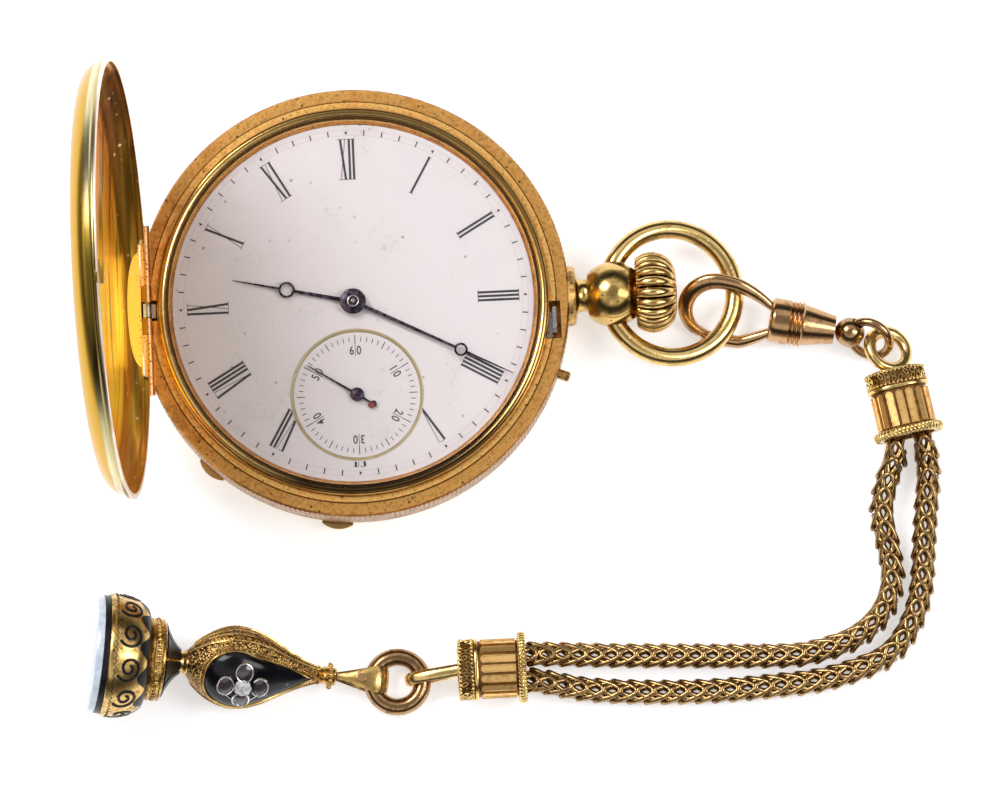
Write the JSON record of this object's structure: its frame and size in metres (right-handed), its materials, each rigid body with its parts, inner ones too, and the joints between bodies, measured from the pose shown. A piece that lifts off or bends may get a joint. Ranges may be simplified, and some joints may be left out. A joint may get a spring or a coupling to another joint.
{
  "type": "pocket watch",
  "caption": "Open full hunter pocket watch with seconds dial, hinged covers, crown and bow, on a swivel clip with double link chain and seal fob.",
  "frame": {"origin": "centre of the flat of the back cover, where the watch lies on the table", "axes": "+X along the stem to the crown, +Y to twelve o'clock, +Z out of the dial"},
  "size_m": [0.1011, 0.0727, 0.0578],
  "materials": {
    "case_gold": "polished, lightly brushed",
    "cover_gold": "polished",
    "bow_gold": "polished, worn",
    "crown_gold": "satin",
    "hinge_gold": "worn",
    "steel": "brushed",
    "blued_steel": "blued",
    "crystal": "clear, domed",
    "dial_enamel": "white enamel",
    "movement_gilt": "matt gilt",
    "ruby": "polished",
    "rose_gold": "polished, worn",
    "ring_gold": "polished, worn",
    "chain_gold": "dulled",
    "fob_gold": "matt granulated",
    "onyx": "polished",
    "flower_stone": "polished",
    "seal_stone": "polished"
  },
  "bodies": {
    "case": {"case_band": "case_gold", "front_hinge_pin": "hinge_gold", "rear_hinge_pin": "hinge_gold", "bezel": "case_gold", "crystal": "crystal", "lift_spring": "steel", "pendant": "case_gold", "dial": "dial_enamel", "seconds_dial": "dial_enamel", "main_plate": "movement_gilt", "barrel_bridge": "movement_gilt", "train_bridge": "movement_gilt", "pallet_cock": "movement_gilt", "balance_cock": "movement_gilt", "movement_screws": "blued_steel", "jewels": "ruby"},
    "front_lid": {"front_cover": "cover_gold"},
    "back_lid": {"back_cover": "cover_gold"},
    "inner_lid": {"cuvette": "cover_gold"},
    "stem": {"winding_stem": "steel"},
    "crown_button": {"crown": "crown_gold"},
    "catch": {"lock_spring": "steel"},
    "crown_wheel_body": {"crown_wheel": "steel"},
    "ratchet_body": {"ratchet_wheel": "steel"},
    "set_button": {"set_pin": "case_gold"},
    "fourth_body": {"fourth_wheel": "movement_gilt", "seconds_hand": "blued_steel"},
    "third_body": {"third_wheel": "movement_gilt"},
    "centre_body": {"centre_wheel": "movement_gilt"},
    "barrel_body": {"mainspring_barrel": "movement_gilt", "mainspring": "blued_steel"},
    "escape_body": {"escape_wheel": "steel"},
    "lever_body": {"pallet_lever": "steel"},
    "balance_body": {"balance_wheel": "movement_gilt", "hairspring": "blued_steel"},
    "minute_body": {"cannon_pinion": "steel", "minute_hand": "blued_steel"},
    "minute_wheel_body": {"minute_wheel": "movement_gilt"},
    "hour_body": {"hour_wheel": "movement_gilt", "hour_hand": "blued_steel"},
    "bow_body": {"bow": "bow_gold"},
    "chain": {"swivel_ball": "rose_gold", "swivel_ring": "ring_gold", "end_cap_upper": "cover_gold", "chain_strand_outer": "chain_gold", "chain_strand_inner": "chain_gold", "end_cap_lower": "cover_gold"},
    "clip": {"clip_hook": "rose_gold", "clip_barrel": "rose_gold"},
    "gate": {"clip_gate": "rose_gold"},
    "link_ring": {"jump_ring": "ring_gold"},
    "fob": {"fob_bail": "fob_gold", "bail_pin": "ring_gold", "fob_body": "fob_gold", "fob_panels": "onyx", "fob_stones": "flower_stone", "seal_base": "fob_gold", "seal_stone": "seal_stone"}
  },
  "joints": [
    {"name": "lid_hinge", "type": "hinge", "parent": "case", "child": "front_lid", "pos_m": [-0.0238, 0, 0.0091], "axis": [0, 1, 0], "range_deg": [0, 93], "stiffness_Nm_per_rad": 0.0015, "springref_deg": -28.65},
    {"name": "back_hinge", "type": "hinge", "parent": "case", "child": "back_lid", "pos_m": [0, 0.0238, 0.00252], "axis": [1, 0, 0], "range_deg": [0, 95]},
    {"name": "inner_hinge", "type": "hinge", "parent": "case", "child": "inner_lid", "pos_m": [0, 0.0238, 0.00252], "axis": [1, 0, 0], "range_deg": [0, 81]},
    {"name": "stem_turn", "type": "hinge", "parent": "case", "child": "stem", "pos_m": [0.02, 0, 0.0056], "axis": [1, 0, 0], "continuous": true},
    {"name": "crown_press", "type": "slide", "parent": "stem", "child": "crown_button", "axis": [-1, 0, 0], "range_m": [0, 0.0008], "stiffness_N_per_m": 600, "springref_m": -0.0003},
    {"name": "catch_flex", "type": "hinge", "parent": "case", "child": "catch", "pos_m": [0.00885, -0.01987, 0.00445], "axis": [0, 0, 1], "range_deg": [0, 0.75]},
    {"name": "crown_wheel_turn", "type": "hinge", "parent": "case", "child": "crown_wheel_body", "pos_m": [0.00684, 0, 0.00315], "axis": [0, 0, 1], "continuous": true},
    {"name": "ratchet_turn", "type": "hinge", "parent": "case", "child": "ratchet_body", "pos_m": [0.00315, 0.00865, 0.00315], "axis": [0, 0, 1], "continuous": true},
    {"name": "set_press", "type": "slide", "parent": "case", "child": "set_button", "axis": [-0.9336, 0.3584, 0], "range_m": [0, 0.00035], "stiffness_N_per_m": 400, "springref_m": -0.0003},
    {"name": "seconds_turn", "type": "hinge", "parent": "case", "child": "fourth_body", "pos_m": [0, -0.0108, 0.0086], "axis": [0, 0, 1], "continuous": true},
    {"name": "third_turn", "type": "hinge", "parent": "case", "child": "third_body", "pos_m": [0.00333, -0.00587, 0.005], "axis": [0, 0, 1], "continuous": true},
    {"name": "centre_turn", "type": "hinge", "parent": "case", "child": "centre_body", "pos_m": [0, 0, 0.0056], "axis": [0, 0, 1], "continuous": true},
    {"name": "barrel_turn", "type": "hinge", "parent": "case", "child": "barrel_body", "pos_m": [0.00315, 0.00865, 0.0045], "axis": [0, 0, 1], "continuous": true},
    {"name": "escape_turn", "type": "hinge", "parent": "case", "child": "escape_body", "pos_m": [-0.00496, -0.01261, 0.0049], "axis": [0, 0, 1], "continuous": true},
    {"name": "lever_rock", "type": "hinge", "parent": "case", "child": "lever_body", "pos_m": [-0.00808, -0.01081, 0.0049], "axis": [0, 0, 1], "range_deg": [-3, 3]},
    {"name": "balance_swing", "type": "hinge", "parent": "case", "child": "balance_body", "pos_m": [-0.0099, -0.0067, 0.0037], "axis": [0, 0, 1], "range_deg": [-220, 220], "stiffness_Nm_per_rad": 0.0000001},
    {"name": "minute_turn", "type": "hinge", "parent": "case", "child": "minute_body", "pos_m": [0, 0, 0.0093], "axis": [0, 0, 1], "continuous": true},
    {"name": "minute_wheel_turn", "type": "hinge", "parent": "case", "child": "minute_wheel_body", "pos_m": [0.003, 0, 0.0074], "axis": [0, 0, 1], "continuous": true},
    {"name": "hour_turn", "type": "hinge", "parent": "case", "child": "hour_body", "pos_m": [0, 0, 0.0089], "axis": [0, 0, 1], "continuous": true},
    {"name": "bow_swing", "type": "hinge", "parent": "case", "child": "bow_body", "pos_m": [0.0301, 0, 0.0056], "axis": [0, 1, 0], "range_deg": [-100, 30]},
    {"name": "chain_level", "type": "hinge", "parent": "bow_body", "child": "chain", "pos_m": [0.04437, 0, 0.00305], "axis": [0, 1, 0], "range_deg": [-25, 20]},
    {"name": "clip_swivel", "type": "hinge", "parent": "chain", "child": "clip", "pos_m": [0.05756, -0.00534, 0.0028], "axis": [0.9781, -0.2079, 0], "range_deg": [0, 100]},
    {"name": "gate_open", "type": "hinge", "parent": "clip", "child": "gate", "pos_m": [0.04891, -0.00466, 0.00198], "axis": [-0.1222, -0.5749, 0.809], "range_deg": [-4, 0], "stiffness_Nm_per_rad": 0.0005, "springref_deg": 17.19},
    {"name": "ring_fold", "type": "hinge", "parent": "chain", "child": "link_ring", "pos_m": [0.00596, -0.04326, 0.00175], "axis": [-0.123, 0.9924, 0], "range_deg": [-25, 25]},
    {"name": "fob_swing", "type": "hinge", "parent": "link_ring", "child": "fob", "pos_m": [0.00308, -0.04362, 0.00175], "axis": [0, 0, 1], "range_deg": [-20, 40]}
  ],
  "couplings": [
    {"joint": "inner_hinge", "follows": "back_hinge", "ratio": 0.85},
    {"joint": "catch_flex", "follows": "crown_press", "rad_per_m": 15},
    {"joint": "crown_wheel_turn", "follows": "stem_turn", "ratio": 0.55},
    {"joint": "ratchet_turn", "follows": "stem_turn", "ratio": -0.40741},
    {"joint": "third_turn", "follows": "seconds_turn", "ratio": -0.13333},
    {"joint": "centre_turn", "follows": "seconds_turn", "ratio": 0.016667},
    {"joint": "barrel_turn", "follows": "seconds_turn", "ratio": -0.0025},
    {"joint": "escape_turn", "follows": "seconds_turn", "ratio": -10},
    {"joint": "minute_wheel_turn", "follows": "minute_turn", "ratio": -0.33333},
    {"joint": "hour_turn", "follows": "minute_turn", "ratio": 0.083333}
  ]
}
